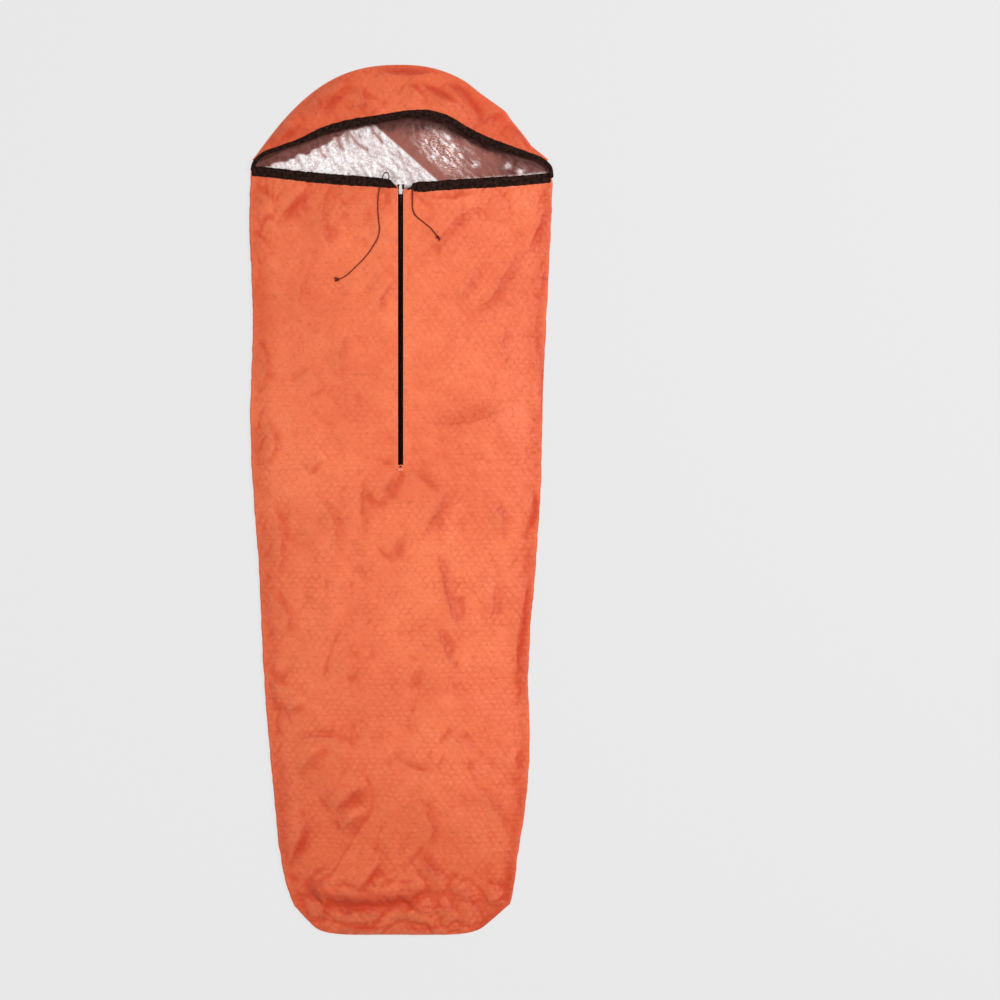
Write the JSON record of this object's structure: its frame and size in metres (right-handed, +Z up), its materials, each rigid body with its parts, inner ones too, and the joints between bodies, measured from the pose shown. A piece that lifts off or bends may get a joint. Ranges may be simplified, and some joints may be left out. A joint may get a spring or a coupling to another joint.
{
  "type": "bivy sack",
  "caption": "Mummy-shaped emergency bivy sack lying flat, with a hood, a front zip and a drawcord round the mouth.",
  "frame": {"origin": "under the middle of the sack, on the surface that it lies on", "axes": "+Y from the foot to the hood, +Z up out of the front panel, +X across the sack to the right as seen from above with the hood away from the viewer"},
  "size_m": [0.724, 2.1, 0.0512],
  "materials": {
    "film": "satin",
    "lining": "gloss",
    "seam": "satin",
    "binding": "matte",
    "cord": "matte",
    "zip_tape": "matte",
    "zip_coil": "satin",
    "metal": "polished",
    "thread": "matte"
  },
  "bodies": {
    "sack": {"back_panel": "film", "front_panel": "film", "foot_panel": "film", "hood_front_panel": "film", "side_seam_left": "seam", "side_seam_right": "seam", "crown_seam": "seam", "foot_seam": "seam", "hood_rim": "binding", "drawcord_hood": "cord", "zipper_bottom_stop": "metal", "zipper_bartack": "thread"},
    "flap_left": {"front_flap_left": "film", "mouth_rim_left": "binding", "drawcord_left": "cord", "drawcord_tail_left": "cord", "cord_knot_left": "cord", "zipper_tape_left": "zip_tape", "zipper_coil_left": "zip_coil", "zipper_top_stop_left": "metal"},
    "flap_right": {"front_flap_right": "film", "mouth_rim_right": "binding", "drawcord_right": "cord", "drawcord_tail_right": "cord", "cord_knot_right": "cord", "zipper_tape_right": "zip_tape", "zipper_coil_right": "zip_coil", "zipper_top_stop_right": "metal"},
    "slider": {"zipper_slider": "metal"},
    "tab": {"pull_tab": "metal"}
  },
  "joints": [
    {"name": "zipper_slide", "type": "slide", "parent": "sack", "child": "slider", "axis": [0, -1, 0], "range_m": [0, 0.63], "deforming": ["zipper_coil_left", "zipper_coil_right", "zipper_tape_left", "zipper_tape_right"]},
    {"name": "pull_tab_swing", "type": "hinge", "parent": "slider", "child": "tab", "pos_m": [0, 0.739, 0.0494], "axis": [1, 0, 0], "range_deg": [0, 170]},
    {"name": "flap_left_fold", "type": "hinge", "parent": "sack", "child": "flap_left", "pos_m": [0, 0.084, 0.046], "axis": [0.4439, -0.8953, 0.0375], "range_deg": [0, 150]},
    {"name": "flap_right_fold", "type": "hinge", "parent": "sack", "child": "flap_right", "pos_m": [0, 0.084, 0.046], "axis": [0.4439, 0.8953, -0.0375], "range_deg": [0, 150]}
  ],
  "couplings": [
    {"joint": "flap_left_fold", "follows": "zipper_slide", "rad_per_m": 4.15},
    {"joint": "flap_right_fold", "follows": "zipper_slide", "rad_per_m": 4.15}
  ]
}
